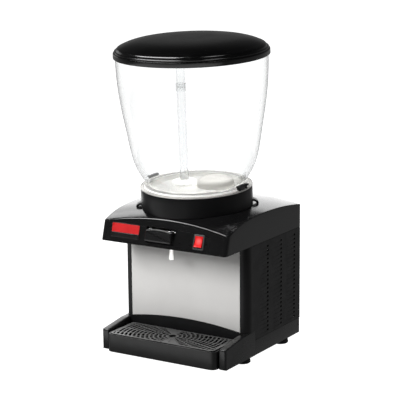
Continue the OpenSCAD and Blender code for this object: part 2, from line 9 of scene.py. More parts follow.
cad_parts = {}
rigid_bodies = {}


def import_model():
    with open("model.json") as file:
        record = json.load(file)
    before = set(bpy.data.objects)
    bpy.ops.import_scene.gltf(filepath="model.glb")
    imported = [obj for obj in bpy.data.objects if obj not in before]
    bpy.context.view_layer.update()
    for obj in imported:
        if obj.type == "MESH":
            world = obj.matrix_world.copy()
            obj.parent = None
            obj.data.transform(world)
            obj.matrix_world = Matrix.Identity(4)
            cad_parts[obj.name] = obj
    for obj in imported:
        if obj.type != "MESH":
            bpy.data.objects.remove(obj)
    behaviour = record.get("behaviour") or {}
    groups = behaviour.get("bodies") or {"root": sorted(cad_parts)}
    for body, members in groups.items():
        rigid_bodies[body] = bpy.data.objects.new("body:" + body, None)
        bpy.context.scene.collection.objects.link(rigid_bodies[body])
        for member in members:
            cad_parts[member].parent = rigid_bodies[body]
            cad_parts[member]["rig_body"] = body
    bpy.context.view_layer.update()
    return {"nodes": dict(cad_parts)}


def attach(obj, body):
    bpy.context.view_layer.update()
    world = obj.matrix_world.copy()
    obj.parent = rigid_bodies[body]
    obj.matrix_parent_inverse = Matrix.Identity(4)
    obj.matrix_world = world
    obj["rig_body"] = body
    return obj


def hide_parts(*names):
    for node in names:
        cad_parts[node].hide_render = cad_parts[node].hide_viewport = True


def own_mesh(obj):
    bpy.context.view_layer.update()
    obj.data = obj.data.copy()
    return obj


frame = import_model()
nodes = frame["nodes"]
SC = bpy.context.scene

# ---------------------------------------------------------------- frames (mm)
MM = 0.001
YS, FH = 18.85, 11.0
LEAN, TILT = radians(16.4), radians(2.9)
TM = Matrix.Diagonal((MM, MM, MM, 1.0)) @ Matrix.Translation((0, YS, FH))
TB = TM @ Matrix.Translation((0, -19.8, 370.6)) @ Matrix.Rotation(TILT, 4, "X")
TF = TM @ Matrix.Translation((0, -168.9, 257.0)) @ Matrix.Rotation(-LEAN, 4, "X")
HW, HD = 166.0, 171.5


def dome_z(x, y, drop=0.0):
    """Height of the deck: a shallow dome that dips towards the front edge."""
    t = max(0.0, (-70 - y) / 80)
    return 339.0 - drop - (x * x + (y - 12) ** 2) / 1900 - (6.6 + 1.4 * (x / 150) ** 2) * t * t


# ---------------------------------------------------------------- materials
def base_mat(name):
    m = bpy.data.materials.new(name)
    m.use_nodes = True
    nt = m.node_tree
    nt.nodes.clear()
    out = nt.nodes.new("ShaderNodeOutputMaterial")
    b = nt.nodes.new("ShaderNodeBsdfPrincipled")
    nt.links.new(b.outputs[0], out.inputs[0])
    tc = nt.nodes.new("ShaderNodeTexCoord")
    return m, nt, b, tc.outputs["Object"]


def mapped(nt, vec, scale=(1, 1, 1), loc=(0, 0, 0), rot=(0, 0, 0)):
    n = nt.nodes.new("ShaderNodeMapping")
    n.inputs["Scale"].default_value = scale
    n.inputs["Location"].default_value = loc
    n.inputs["Rotation"].default_value = rot
    nt.links.new(vec, n.inputs["Vector"])
    return n.outputs[0]


def noise(nt, vec, scale, detail=3.0, rough=0.55):
    n = nt.nodes.new("ShaderNodeTexNoise")
    n.inputs["Scale"].default_value = scale
    n.inputs["Detail"].default_value = detail
    n.inputs["Roughness"].default_value = rough
    nt.links.new(vec, n.inputs["Vector"])
    return n.outputs["Fac"]


def ramp(nt, fac, stops):
    n = nt.nodes.new("ShaderNodeValToRGB")
    el = n.color_ramp.elements
    while len(el) < len(stops):
        el.new(0.5)
    for e, (p, c) in zip(el, stops):
        e.position = p
        e.color = (*c, 1.0) if len(c) == 3 else c
    nt.links.new(fac, n.inputs[0])
    return n.outputs[0]


def span(nt, fac, lo, hi, a=0.3, b=0.7):
    n = nt.nodes.new("ShaderNodeMapRange")
    n.inputs["From Min"].default_value = a
    n.inputs["From Max"].default_value = b
    n.inputs["To Min"].default_value = lo
    n.inputs["To Max"].default_value = hi
    nt.links.new(fac, n.inputs["Value"])
    return n.outputs["Result"]


def bump(nt, b, height, dist, strength=1.0, socket="Normal"):
    n = nt.nodes.new("ShaderNodeBump")
    n.inputs["Distance"].default_value = dist
    n.inputs["Strength"].default_value = strength
    nt.links.new(height, n.inputs["Height"])
    nt.links.new(n.outputs[0], b.inputs[socket])
    return n


def plastic(name, c0, c1, r0, r1, grain=900, depth=0.00003, patch=14, ior=1.5, coat=0.0, coat_r=0.1, spec=0.5):
    """Moulded plastic or paint: patchy tone, uneven gloss and a fine skin."""
    m, nt, b, v = base_mat(name)
    nt.links.new(ramp(nt, noise(nt, v, patch, 5), [(0.3, c0), (0.7, c1)]), b.inputs["Base Color"])
    nt.links.new(span(nt, noise(nt, v, patch * 3.1, 4), r0, r1), b.inputs["Roughness"])
    bump(nt, b, noise(nt, v, grain, 2), depth)
    b.inputs["IOR"].default_value = ior
    b.inputs["Specular IOR Level"].default_value = spec
    if coat:
        b.inputs["Coat Weight"].default_value = coat
        b.inputs["Coat Roughness"].default_value = coat_r
    return m


def metal(name, c0, c1, r0, r1, brush=(2.0, 2.0, 700.0), depth=0.00001, aniso=0.0, met=1.0):
    """Metal with brushing that runs along the axes with a small scale factor."""
    m, nt, b, v = base_mat(name)
    fine = noise(nt, mapped(nt, v, brush), 1.0, 4, 0.6)
    wide = noise(nt, v, 9, 3)
    nt.links.new(ramp(nt, wide, [(0.3, c0), (0.7, c1)]), b.inputs["Base Color"])
    nt.links.new(span(nt, fine, r0, r1), b.inputs["Roughness"])
    bump(nt, b, fine, depth)
    b.inputs["Metallic"].default_value = met
    if aniso:
        b.inputs["Anisotropic"].default_value = aniso
        b.inputs["Anisotropic Rotation"].default_value = 0.25
        tg = nt.nodes.new("ShaderNodeTangent")
        tg.direction_type = "RADIAL"
        tg.axis = "Z"
        nt.links.new(tg.outputs[0], b.inputs["Tangent"])
    return m


def ring_metal(name, c0, c1, r0, r1, met=1.0):
    """Spun steel: brushing in circles round the bowl's axis."""
    m, nt, b, v = base_mat(name)
    q = mapped(nt, v, (1, 1, 1), (0, -0.00012, 0))
    sep = nt.nodes.new("ShaderNodeSeparateXYZ")
    nt.links.new(q, sep.inputs[0])
    com = nt.nodes.new("ShaderNodeCombineXYZ")
    nt.links.new(sep.outputs[0], com.inputs[0])
    nt.links.new(sep.outputs[1], com.inputs[1])
    ln = nt.nodes.new("ShaderNodeVectorMath")
    ln.operation = "LENGTH"
    nt.links.new(com.outputs[0], ln.inputs[0])
    c2 = nt.nodes.new("ShaderNodeCombineXYZ")
    nt.links.new(ln.outputs["Value"], c2.inputs[0])
    fine = noise(nt, c2.outputs[0], 1500, 3, 0.6)
    wide = noise(nt, v, 12, 3)
    nt.links.new(ramp(nt, wide, [(0.3, c0), (0.7, c1)]), b.inputs["Base Color"])
    nt.links.new(span(nt, fine, r0, r1), b.inputs["Roughness"])
    bump(nt, b, fine, 0.00001)
    b.inputs["Metallic"].default_value = met
    return m


def clear(name, tint0, tint1, edge, r0, r1, start=0.62, ior=1.49):
    """Clear plastic: the colour darkens where the wall is seen edge on, a painted shade that stands in for the darker
    surroundings the wall bends into view there.
    """
    m, nt, b, v = base_mat(name)
    lw = nt.nodes.new("ShaderNodeLayerWeight")
    lw.inputs["Blend"].default_value = 0.5
    mx = nt.nodes.new("ShaderNodeMix")
    mx.data_type = "RGBA"
    nt.links.new(span(nt, lw.outputs["Facing"], 0, 1, start, 0.97), mx.inputs["Factor"])
    nt.links.new(ramp(nt, noise(nt, v, 6, 2), [(0.3, tint0), (0.7, tint1)]), mx.inputs["A"])
    nt.links.new(ramp(nt, noise(nt, v, 9, 2), [(0.3, edge), (0.7, tuple(0.94 * c for c in edge))]), mx.inputs["B"])
    nt.links.new(mx.outputs["Result"], b.inputs["Base Color"])
    nt.links.new(span(nt, noise(nt, v, 22, 3), r0, r1), b.inputs["Roughness"])
    b.inputs["Transmission Weight"].default_value = 1.0
    b.inputs["IOR"].default_value = ior
    return m


MAT = {}
MAT["hood"] = plastic("hood_gloss_black", (0.0045, 0.0045, 0.0048), (0.0075, 0.0075, 0.0078), 0.12, 0.20, 1500, 0.000008, 9)
MAT["lid"] = plastic("lid_gloss_black", (0.0008, 0.0008, 0.0009), (0.0016, 0.0016, 0.0017), 0.13, 0.21, 1300, 0.000008, 9)
MAT["fascia"] = plastic("fascia_black", (0.0025, 0.0025, 0.0027), (0.0045, 0.0045, 0.0047), 0.26, 0.36, 2200, 0.00001, 16)
MAT["paddle"] = plastic("paddle_black", (0.005, 0.005, 0.0053), (0.008, 0.008, 0.0083), 0.28, 0.38, 2200, 0.000012, 16)
MAT["collar"] = plastic("collar_black", (0.004, 0.004, 0.0043), (0.006, 0.006, 0.0063), 0.30, 0.40, 1700, 0.000015, 14, spec=0.22)
MAT["bezel"] = plastic("bezel_grey", (0.050, 0.050, 0.051), (0.062, 0.062, 0.063), 0.34, 0.46, 1700, 0.00002, 14)
MAT["satin"] = plastic("satin_black", (0.010, 0.010, 0.0105), (0.016, 0.016, 0.0165), 0.36, 0.48, 1700, 0.00002, 14)
MAT["base"] = plastic("base_charcoal", (0.008, 0.008, 0.0083), (0.012, 0.012, 0.0123), 0.24, 0.33, 1500, 0.00002, 14)
MAT["wall"] = plastic("back_wall_black", (0.005, 0.005, 0.0053), (0.008, 0.008, 0.0083), 0.36, 0.46, 1500, 0.00002, 14, spec=0.2)
MAT["side"] = plastic("side_panel_paint", (0.007, 0.007, 0.0074), (0.011, 0.011, 0.0114), 0.40, 0.52, 1300, 0.00003, 12, spec=0.35)
MAT["tray"] = plastic("tray_charcoal", (0.008, 0.008, 0.008), (0.012, 0.012, 0.012), 0.34, 0.44, 1300, 0.00003, 15)
MAT["grille"] = plastic("grille_charcoal", (0.095, 0.095, 0.094), (0.125, 0.125, 0.124), 0.36, 0.48, 1300, 0.00003, 15)
MAT["steel"] = metal("splash_steel", (0.80, 0.79, 0.772), (0.86, 0.85, 0.832), 0.38, 0.50, (2.5, 2.5, 900), 0.000006, 0.5, 0.25)
MAT["pan"] = ring_metal("spun_steel", (0.84, 0.835, 0.81), (0.90, 0.895, 0.87), 0.26, 0.38, 0.35)
MAT["dome"] = ring_metal("dome_steel", (0.80, 0.785, 0.74), (0.86, 0.845, 0.80), 0.34, 0.46, 0.3)
MAT["clear"] = clear("clear_bowl", (0.98, 0.985, 0.985), (0.99, 0.995, 0.995), (0.62, 0.63, 0.63), 0.0, 0.03, 0.74)
MAT["tube"] = clear("clear_tube", (0.92, 0.925, 0.93), (0.95, 0.955, 0.955), (0.22, 0.23, 0.24), 0.01, 0.06, 0.36)
MAT["foot"] = clear("clear_foot", (0.985, 0.985, 0.98), (0.995, 0.995, 0.99), (0.95, 0.95, 0.94), 0.0, 0.03, 0.8)
ft = MAT["foot"].node_tree.nodes["Principled BSDF"]        # painted glow: the clear foot gives off light, standing in for light carried down the clear wall
ft.inputs["Emission Color"].default_value = (0.93, 0.92, 0.89, 1)
ft.inputs["Emission Strength"].default_value = 0.12
MAT["ring"] = ring_metal("flange_steel", (0.60, 0.585, 0.56), (0.70, 0.685, 0.66), 0.24, 0.36, 0.5)
MAT["white"] = plastic("white_plastic", (0.90, 0.895, 0.87), (0.95, 0.945, 0.92), 0.24, 0.36, 1500, 0.00001, 18)
MAT["silicone"] = plastic("pale_silicone", (0.62, 0.63, 0.62), (0.70, 0.71, 0.70), 0.40, 0.52, 1500, 0.00002, 18)
MAT["gasket"] = plastic("gasket_silicone", (0.74, 0.75, 0.73), (0.80, 0.81, 0.79), 0.40, 0.52, 1500, 0.00002, 18)
gs = MAT["gasket"].node_tree.nodes["Principled BSDF"]      # painted glow: the gasket gives off light, standing in for the light that reaches it through the bowl's clear foot
gs.inputs["Emission Color"].default_value = (0.9, 0.9, 0.87, 1)
gs.inputs["Emission Strength"].default_value = 0.55
MAT["pump"] = plastic("pump_white", (0.90, 0.895, 0.87), (0.95, 0.945, 0.92), 0.24, 0.36, 1500, 0.00001, 18)
# painted glow: the pump cover gives off light, though it holds no lamp
pw = MAT["pump"].node_tree.nodes["Principled BSDF"]
pw.inputs["Emission Color"].default_value = (0.95, 0.95, 0.92, 1)
pw.inputs["Emission Strength"].default_value = 0.35
MAT["rubber"] = plastic("rubber_black", (0.008, 0.008, 0.008), (0.016, 0.016, 0.016), 0.62, 0.80, 1100, 0.00005, 20)
MAT["gap"] = plastic("shadow_gap", (0.002, 0.002, 0.002), (0.004, 0.004, 0.004), 0.55, 0.70, 1100, 0.00002, 20)
MAT["plate"] = metal("galvanised_sheet", (0.50, 0.51, 0.52), (0.62, 0.63, 0.64), 0.34, 0.52, (60, 60, 60), 0.00001)
MAT["bolt"] = metal("zinc_hardware", (0.58, 0.58, 0.57), (0.70, 0.70, 0.69), 0.22, 0.36, (400, 400, 400), 0.000008)
MAT["copper"] = metal("copper_pipe", (0.70, 0.33, 0.19), (0.80, 0.43, 0.27), 0.24, 0.40, (150, 150, 150), 0.00001)
MAT["motor"] = plastic("motor_black_paint", (0.012, 0.012, 0.013), (0.024, 0.024, 0.025), 0.34, 0.50, 900, 0.00004, 25)
MAT["foam"] = plastic("foam_cream", (0.70, 0.64, 0.45), (0.82, 0.76, 0.58), 0.75, 0.92, 500, 0.0003, 40)
MAT["badge_red"] = plastic("badge_red", (0.50, 0.012, 0.014), (0.60, 0.018, 0.02), 0.26, 0.36, 1800, 0.00001, 22)
MAT["badge_dark"] = plastic("badge_dark", (0.008, 0.007, 0.007), (0.013, 0.012, 0.012), 0.26, 0.36, 1800, 0.00001, 22)


def rocker_red():
    m, nt, b, v = base_mat("rocker_red")
    # the red glow is the switch's own lamp; the pink spot round the centre is a painted highlight, in the base colour
    # and in the glow
    c = TF @ Vector((94, -2.5, 27))
    q = mapped(nt, v, (1, 1, 1), (-c.x, -c.y, -c.z))
    ln = nt.nodes.new("ShaderNodeVectorMath")
    ln.operation = "LENGTH"
    nt.links.new(q, ln.inputs[0])
    painted_highlight_fade = span(nt, ln.outputs["Value"], 0, 1, 0.0025, 0.0095)
    mx = nt.nodes.new("ShaderNodeMix")
    mx.data_type = "RGBA"
    nt.links.new(painted_highlight_fade, mx.inputs["Factor"])
    mx.inputs["A"].default_value = (0.90, 0.10, 0.10, 1)
    nt.links.new(ramp(nt, noise(nt, v, 90, 3), [(0.3, (0.62, 0.010, 0.012)), (0.7, (0.75, 0.02, 0.02))]), mx.inputs["B"])
    nt.links.new(mx.outputs["Result"], b.inputs["Base Color"])
    nt.links.new(span(nt, noise(nt, v, 160, 3), 0.14, 0.24), b.inputs["Roughness"])
    b.inputs["Subsurface Weight"].default_value = 0.35
    b.inputs["Subsurface Radius"].default_value = (0.004, 0.001, 0.001)
    b.inputs["Coat Weight"].default_value = 0.6
    b.inputs["Coat Roughness"].default_value = 0.08
    nt.links.new(mx.outputs["Result"], b.inputs["Emission Color"])
    b.inputs["Emission Strength"].default_value = 0.14
    return m


MAT["rocker"] = rocker_red()


# ---------------------------------------------------------------- mesh tools
def finish_mesh(ob, sharp=32, merge=1e-6):
    bm = bmesh.new()
    bm.from_mesh(ob.data)
    if merge:
        bmesh.ops.remove_doubles(bm, verts=bm.verts, dist=merge)
    bmesh.ops.recalc_face_normals(bm, faces=bm.faces)
    for f in bm.faces:
        f.smooth = True
    lim = radians(sharp)
    for e in bm.edges:
        e.smooth = not (len(e.link_faces) == 2 and e.calc_face_angle(0) > lim)
    bm.to_mesh(ob.data)
    bm.free()
    ob.data.update()


def make(name, verts, faces, tf, mat, body="housing", repl=(), slot=None, sharp=32):
    me = bpy.data.meshes.new(name)
    me.from_pydata([tuple(tf @ Vector(v)) for v in verts], [], faces)
    me.validate()
    ob = bpy.data.objects.new(name, me)
    SC.collection.objects.link(ob)
    finish_mesh(ob, sharp)
    return dress(ob, mat, body, repl)


def dress(ob, mat, body="housing", repl=()):
    ob.data.materials.clear()
    ob.data.materials.append(MAT[mat])
    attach(ob, body)
    if repl:
        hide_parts(*([repl] if isinstance(repl, str) else repl))
    return ob


def fillet(pts, closed=True, seg=5):
    """2-D polyline with rounded corners; a point may carry its radius."""
    out, n = [], len(pts)
    for i, p in enumerate(pts):
        rad = p[2] if len(p) > 2 else 0
        P = Vector(p[:2])
        if rad <= 0 or (not closed and i in (0, n - 1)):
            out.append((P.x, P.y))
            continue
        A, B = Vector(pts[i - 1][:2]), Vector(pts[(i + 1) % n][:2])
        u, v = (A - P).normalized(), (B - P).normalized()
        ang = u.angle(v)
        d = min(rad / tan(ang / 2), 0.49 * (A - P).length, 0.49 * (B - P).length)
        r = d * tan(ang / 2)
        c = P + (u + v).normalized() * (r / sin(ang / 2))
        s, e = P + u * d - c, P + v * d - c
        a0, a1 = atan2(s.y, s.x), atan2(e.y, e.x)
        da = (a1 - a0 + pi) % (2 * pi) - pi
        for k in range(seg + 1):
            t = a0 + da * k / seg
            out.append((c.x + r * cos(t), c.y + r * sin(t)))
    return out


def spline(pts, sub=4):
    """Smooth curve through 2-D points."""
    P = [Vector(p) for p in pts]
    out = []
    for i in range(len(P) - 1):
        p0 = P[max(i - 1, 0)]
        p1, p2 = P[i], P[i + 1]
        p3 = P[min(i + 2, len(P) - 1)]
        for k in range(sub):
            t = k / sub
            q = 0.5 * ((2 * p1) + (p2 - p0) * t + (2 * p0 - 5 * p1 + 4 * p2 - p3) * t * t + (3 * p1 - p0 - 3 * p2 + p3) * t ** 3)
            out.append((q.x, q.y))
    out.append((P[-1].x, P[-1].y))
    return out


def revolve(prof, n=128, closed=True):
    verts, idx = [], []
    for r, h in prof:
        if r < 1e-6:
            idx.append([len(verts)] * n)
            verts.append((0, 0, h))
        else:
            idx.append(list(range(len(verts), len(verts) + n)))
            verts += [(r * cos(2 * pi * k / n), r * sin(2 * pi * k / n), h) for k in range(n)]
    faces = []
    m = len(prof)
    for i in range(m if closed else m - 1):
        a, b = idx[i], idx[(i + 1) % m]
        for k in range(n):
            q = []
            for w in (a[k], a[(k + 1) % n], b[(k + 1) % n], b[k]):
                if w not in q:
                    q.append(w)
            if len(q) > 2:
                faces.append(q)
    return verts, faces


def loft(loops, cap0=True, cap1=True, ring=False):
    """Quads between closed loops of equal length; ring joins the last loop to the first."""
    n = len(loops[0])
    verts = [p for lp in loops for p in lp]
    faces = []
    m = len(loops)
    for i in range(m if ring else m - 1):
        a, b = i * n, ((i + 1) % m) * n
        for k in range(n):
            faces.append([a + k, a + (k + 1) % n, b + (k + 1) % n, b + k])
    if not ring:
        if cap0:
            faces.append(list(range(n))[::-1])
        if cap1:
            faces.append(list(range((m - 1) * n, m * n)))
    return verts, faces


def inset(poly, o):
    """Counter-clockwise 2-D polygon moved inwards by o."""
    n = len(poly)
    out = []
    for i in range(n):
        a, p, b = Vector(poly[i - 1]), Vector(poly[i]), Vector(poly[(i + 1) % n])
        u, v = (p - a).normalized(), (b - p).normalized()
        n1, n2 = Vector((-u.y, u.x)), Vector((-v.y, v.x))
        q = p + o * (n1 + n2) / max(0.3, 1 + n1.dot(n2))
        out.append((q.x, q.y))
    return out


def rect(x0, x1, y0, y1, r, seg=5):
    """Rounded rectangle, counter-clockwise; r is one radius or four from lower left."""
    r = [r] * 4 if not isinstance(r, (list, tuple)) else r
    return fillet([(x0, y0, r[0]), (x1, y0, r[1]), (x1, y1, r[2]), (x0, y1, r[3])], True, seg)


def extruded(poly, rows, axes, cap0=True, cap1=True, ring=False):
    """Outline swept through rows of (inset, position); axes maps (u, v, w) to x, y, z."""
    return loft([[axes(u, v, w) for u, v in inset(poly, o)] for o, w in rows], cap0, cap1, ring)


def join(*parts):
    verts, faces = [], []
    for v, f in parts:
        k = len(verts)
        verts += list(v)
        faces += [[i + k for i in q] for q in f]
    return verts, faces


def boxm(x0, x1, y0, y1, z0, z1):
    v = [(x, y, z) for z in (z0, z1) for y in (y0, y1) for x in (x0, x1)]
    return v, [[0, 2, 3, 1], [4, 5, 7, 6], [0, 1, 5, 4], [2, 6, 7, 3], [0, 4, 6, 2], [1, 3, 7, 5]]


def cut(ob, cutters):
    """Takes the cutter meshes (verts, faces, frame) out of an object."""
    for verts, faces, tf in cutters:
        me = bpy.data.meshes.new("cutter")
        me.from_pydata([tuple(tf @ Vector(v)) for v in verts], [], faces)
        c = bpy.data.objects.new("cutter", me)
        SC.collection.objects.link(c)
        finish_mesh(c, 30, 0)
        md = ob.modifiers.new("cut", "BOOLEAN")
        md.operation = "DIFFERENCE"
        md.solver = "EXACT"
        md.object = c
        bpy.context.view_layer.update()
        dg = bpy.context.evaluated_depsgraph_get()
        new = bpy.data.meshes.new_from_object(ob.evaluated_get(dg))
        ob.modifiers.clear()
        old = ob.data
        ob.data = new
        bpy.data.meshes.remove(old)
        bpy.data.objects.remove(c)
        bpy.data.meshes.remove(me)


def from_cad(node, mat, bev=0.0, seg=2, ang=30, name=None, flat=1.0, sharp=32):
    """A piece with the node's own shape and softened edges."""
    src = nodes[node].data
    me = bpy.data.meshes.new(name or node + "_skin")
    me.from_pydata([tuple(v.co) for v in src.vertices], [], [list(p.vertices) for p in src.polygons])
    ob = bpy.data.objects.new(me.name, me)
    SC.collection.objects.link(ob)
    bm = bmesh.new()
    bm.from_mesh(me)
    bmesh.ops.remove_doubles(bm, verts=bm.verts, dist=2e-6)
    bmesh.ops.dissolve_limit(bm, angle_limit=radians(flat), use_dissolve_boundaries=False, verts=bm.verts, edges=bm.edges)
    if bev:
        es = [e for e in bm.edges if len(e.link_faces) == 2 and e.calc_face_angle(0) > radians(ang)]
        bmesh.ops.bevel(bm, geom=es, offset=bev * MM, offset_type="OFFSET", segments=seg, profile=0.5, affect="EDGES", clamp_overlap=True)
    bm.to_mesh(me)
    bm.free()
    finish_mesh(ob, sharp)
    return dress(ob, mat, nodes[node]["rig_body"], node)


def paint(mat, *names):
    for n in names:
        o = nodes[n]
        o.data.materials.clear()
        o.data.materials.append(MAT[mat])


# ---------------------------------------------------------------- hood
def hood():
    T = tan(LEAN)
    CR = 9.0                                  # front corner radius
    cy = CR / cos(LEAN)                       # corner depth in a level slice

    def outline(z, o):
        """Level slice of the hood at height z, shrunk inwards by o; clockwise from the rear middle."""
        yf = -168.9 + T * (z - 257) + (o * 5 / 3) / cos(LEAN)
        w, r, ry = HW - o, CR - o, cy - o
        yr = HD - o
        pts = []
        rr = 0.8
        for k in range(12):                    # rear, to the right
            pts.append((w * k / 12 * (w - rr) / w, yr))
        for k in range(4):
            a = pi / 2 * k / 4
            pts.append((w - rr + rr * sin(a), yr - rr + rr * cos(a)))
        y0, y1 = yr - rr, yf + ry
        for k in range(36):
            pts.append((w, y0 + (y1 - y0) * k / 36))
        for k in range(14):
            a = pi / 2 * k / 14
            pts.append((w - r + r * cos(a), yf + ry - ry * sin(a)))
        for k in range(72):
            pts.append(((w - r) * (1 - 2 * k / 72), yf))
        for k in range(14):
            a = pi / 2 * k / 14
            pts.append((-w + r - r * sin(a), yf + ry - ry * cos(a)))
        for k in range(36):
            pts.append((-w, y1 + (y0 - y1) * k / 36))
        for k in range(4):
            a = pi / 2 * k / 4
            pts.append((-w + rr - rr * cos(a), yr - rr + rr * sin(a)))
        for k in range(12):
            pts.append((-(w - rr) * (1 - k / 12), yr))
        return pts

    n = len(outline(260, 0))
    low = outline(257, 0)
    high = outline(325, 0)

    def point(i, z, o):
        # walls are straight between level slices
        a, b = (low[i], high[i]) if o == 0 else (lowi[i], highi[i])
        t = (z - 257) / 68
        return a[0] + (b[0] - a[0]) * t, a[1] + (b[1] - a[1]) * t

    lowi, highi = outline(257, 3), outline(325, 3)
    hole_c = (0.0, -19.8 + 40 * sin(TILT))

    def shell(o, rad):
        """Rows of points from the lower edge up the wall, round the edge and over the deck."""
        rows = []
        tops = []
        for i in range(n):
            z = 310.0
            for _ in range(12):
                x, y = point(i, z, o)
                z = dome_z(x, y, o)
            tops.append(z)
        wall = 5
        for k in range(wall):
            row = []
            for i in range(n):
                z = 257 + (tops[i] - rad[i] - 257) * k / (wall - 1)
                x, y = point(i, z, o)
                row.append((x, y, z))
            rows.append(row)
        # rounded edge: arc between wall and deck
        ends = []
        for i in range(n):
            E = Vector((*point(i, tops[i], o), tops[i]))
            d = Vector((hole_c[0] - E.x, hole_c[1] - E.y))
            j0, j1 = (i - 1) % n, (i + 1) % n
            p0, p1 = Vector(point(j0, tops[i], o)), Vector(point(j1, tops[i], o))
            tng = (p1 - p0).normalized()
            nin = Vector((tng.y, -tng.x))
            if nin.dot(d) < 0:
                nin = -nin
            bx, by = E.x + nin.x * rad[i], E.y + nin.y * rad[i]
            B = Vector((bx, by, dome_z(bx, by, o)))
            ends.append((E, B))
        seg = 7
        for k in range(1, seg + 1):
            t = k / seg
            row = []
            for i in range(n):
                A = Vector(rows[wall - 1][i])
                E, B = ends[i]
                w = 0.72
                q = ((1 - t) ** 2 * A + 2 * w * t * (1 - t) * E + t * t * B) / ((1 - t) ** 2 + 2 * w * t * (1 - t) + t * t)
                row.append(tuple(q))
            rows.append(row)
        # deck from the rounded edge in to the opening
        deck = 14
        for k in range(1, deck + 1):
            t = k / deck
            row = []
            for i in range(n):
                B = ends[i][1]
                d = Vector((B.x - hole_c[0], B.y - hole_c[1])).normalized()
                hx, hy = hole_c[0] + d.x * 122.4, hole_c[1] + d.y * 122.4
                x, y = B.x + (hx - B.x) * t, B.y + (hy - B.y) * t
                row.append((x, y, dome_z(x, y, o)))
            rows.append(row)
        return rows

    def radius(i):
        t = min(1.0, max(0.0, (-118.0 - low[i][1]) / 45.0))
        return 1.2 + 1.7 * t * t * (3 - 2 * t)

    rad = [radius(i) for i in range(n)]
    outer = shell(0, rad)
    inner = shell(3, [1.0] * n)
    lip = [[(x, y, 257.0) for x, y in outline(257, 0.7)]]
    outer[0] = [(x, y, 257.7) for x, y in (point(i, 257.7, 0) for i in range(n))]
    loops = lip + outer + inner[::-1]
    v, f = loft(loops, ring=True)
    ob = make("hood_shell", v, f, TM, "hood", sharp=40)
    fld = fascia_outline(0.0)
    pocket = loft([[(x, y, z) for x, z in fld] for y in (-4.0, 2.0)])
    win = boxm(-48.3, 33.3, 1, 12, 7.4, 47.3)
    sw = boxm(94 - 11.2, 94 + 11.2, 1, 12, 25 - 14.4, 25 + 14.4)
    cut(ob, [(*pocket, TF), (*win, TF), (*sw, TF)])
    finish_mesh(ob, 30)
    return dress(ob, "hood", "housing", "top_cover")


def fascia_outline(o):
    """Fascia insert in face coordinates, counter-clockwise seen from the front."""
    def top(x):
        z = 45.0
        for _ in range(30):
            y, h = -168.9 + z * sin(LEAN), 257 + z * cos(LEAN)
            z -= (h - dome_z(x, y, 14.6 + o)) / cos(LEAN)
        return z
    x0, x1 = -152 + o, 121 - o
    pts = [(x0, 4.5 + o), (x1, 4.5 + o)]
    pts += [(x1 + (x0 - x1) * k / 40, top(x1 + (x0 - x1) * k / 40)) for k in range(41)]
    return pts


def fascia():
    F = lambda u, v, w: (u, w, v)
    v, f = extruded(fascia_outline(0.3), [(0, 2.0), (0, 0.35), (0.12, 0.1), (0.4, 0.0)], F)
    ob = make("fascia_insert", v, f, TF, "fascia")
    win = extruded(rect(-46, 31, 8.6, 45, 3.0), [(0, 5), (0, -3)], F)
    sw = extruded(rect(94 - 11.2, 94 + 11.2, 25 - 14.4, 25 + 14.4, 1.0), [(0, 5), (0, -3)], F)
    cut(ob, [(*win, TF), (*sw, TF)])
    finish_mesh(ob, 30)
    dress(ob, "fascia", "housing", "fascia_plate")
    # plain two-tone badge
    rim = extruded(rect(-140, -63, 11.5, 45.5, 2.2), [(0, 0.02), (0, -0.8), (0.35, -1.15), (1.0, -1.2), (1.5, -1.1), (1.8, -0.7), (3, -0.65), (3, 0.02)], F, ring=True)
    make("badge_rim", *rim, TF, "badge_dark", "housing", "badge_plate", "badge_red")
    field = extruded(rect(-138, -65, 23.4, 43.5, [0.3, 0.3, 1.2, 1.2]), [(0, -0.1), (0, -0.75), (0.3, -0.95)], F)
    make("badge_field", *field, TF, "badge_red", "housing", "badge_plate", "badge_red")
    band = extruded(rect(-138, -65, 13.5, 22.6, [1.2, 1.2, 0.3, 0.3]), [(0, -0.1), (0, -0.75), (0.3, -0.95)], F)
    make("badge_band", *band, TF, "badge_dark", "housing", "badge_plate", "badge_red")


def paddle():
    F = lambda u, v, w: (u, w, v)
    px, R = -9.5, 160.0
    x0, x1 = px - 35.5, px + 35.5
    arch = lambda x: 41.5 - R + sqrt(R * R - (x - px) ** 2)
    pts = [(x0, 11.5, 3.5), (x1, 11.5, 3.5)]
    pts += [(x1, arch(x1), 3.0)]
    pts += [(x1 + (x0 - x1) * k / 24, arch(x1 + (x0 - x1) * k / 24)) for k in range(2, 23)]
    pts += [(x0, arch(x0), 3.0)]
    out = fillet(pts, True, 6)
    rows = [(0.8, -2.6), (0.2, -2.8), (0, -3.4), (0, -4.6), (0.15, -5.7), (0.6, -6.8), (1.3, -7.7), (2.2, -8.4), (3.3, -8.85), (4.6, -9.0)]
    body = extruded(out, rows, F)
    parts = [body]
    for x in (-36, 21):
        ring = [(x - 4, 2.05), (x + 4, 2.05), (x + 4, 4.0), (x - 4, 4.0)]
        loops = [[(a, 4 + r * sin(2 * pi * k / 28), 39 + r * cos(2 * pi * k / 28)) for k in range(28)] for a, r in ring]
        parts.append(loft(loops, ring=True))
        parts.append(boxm(x - 4, x + 4, -2.7, 0.6, 35.4, 40.0))
    v, f = join(*parts)
    make("tap_paddle", v, f, TF, "paddle", "lever", "tap_lever", "fascia_black")


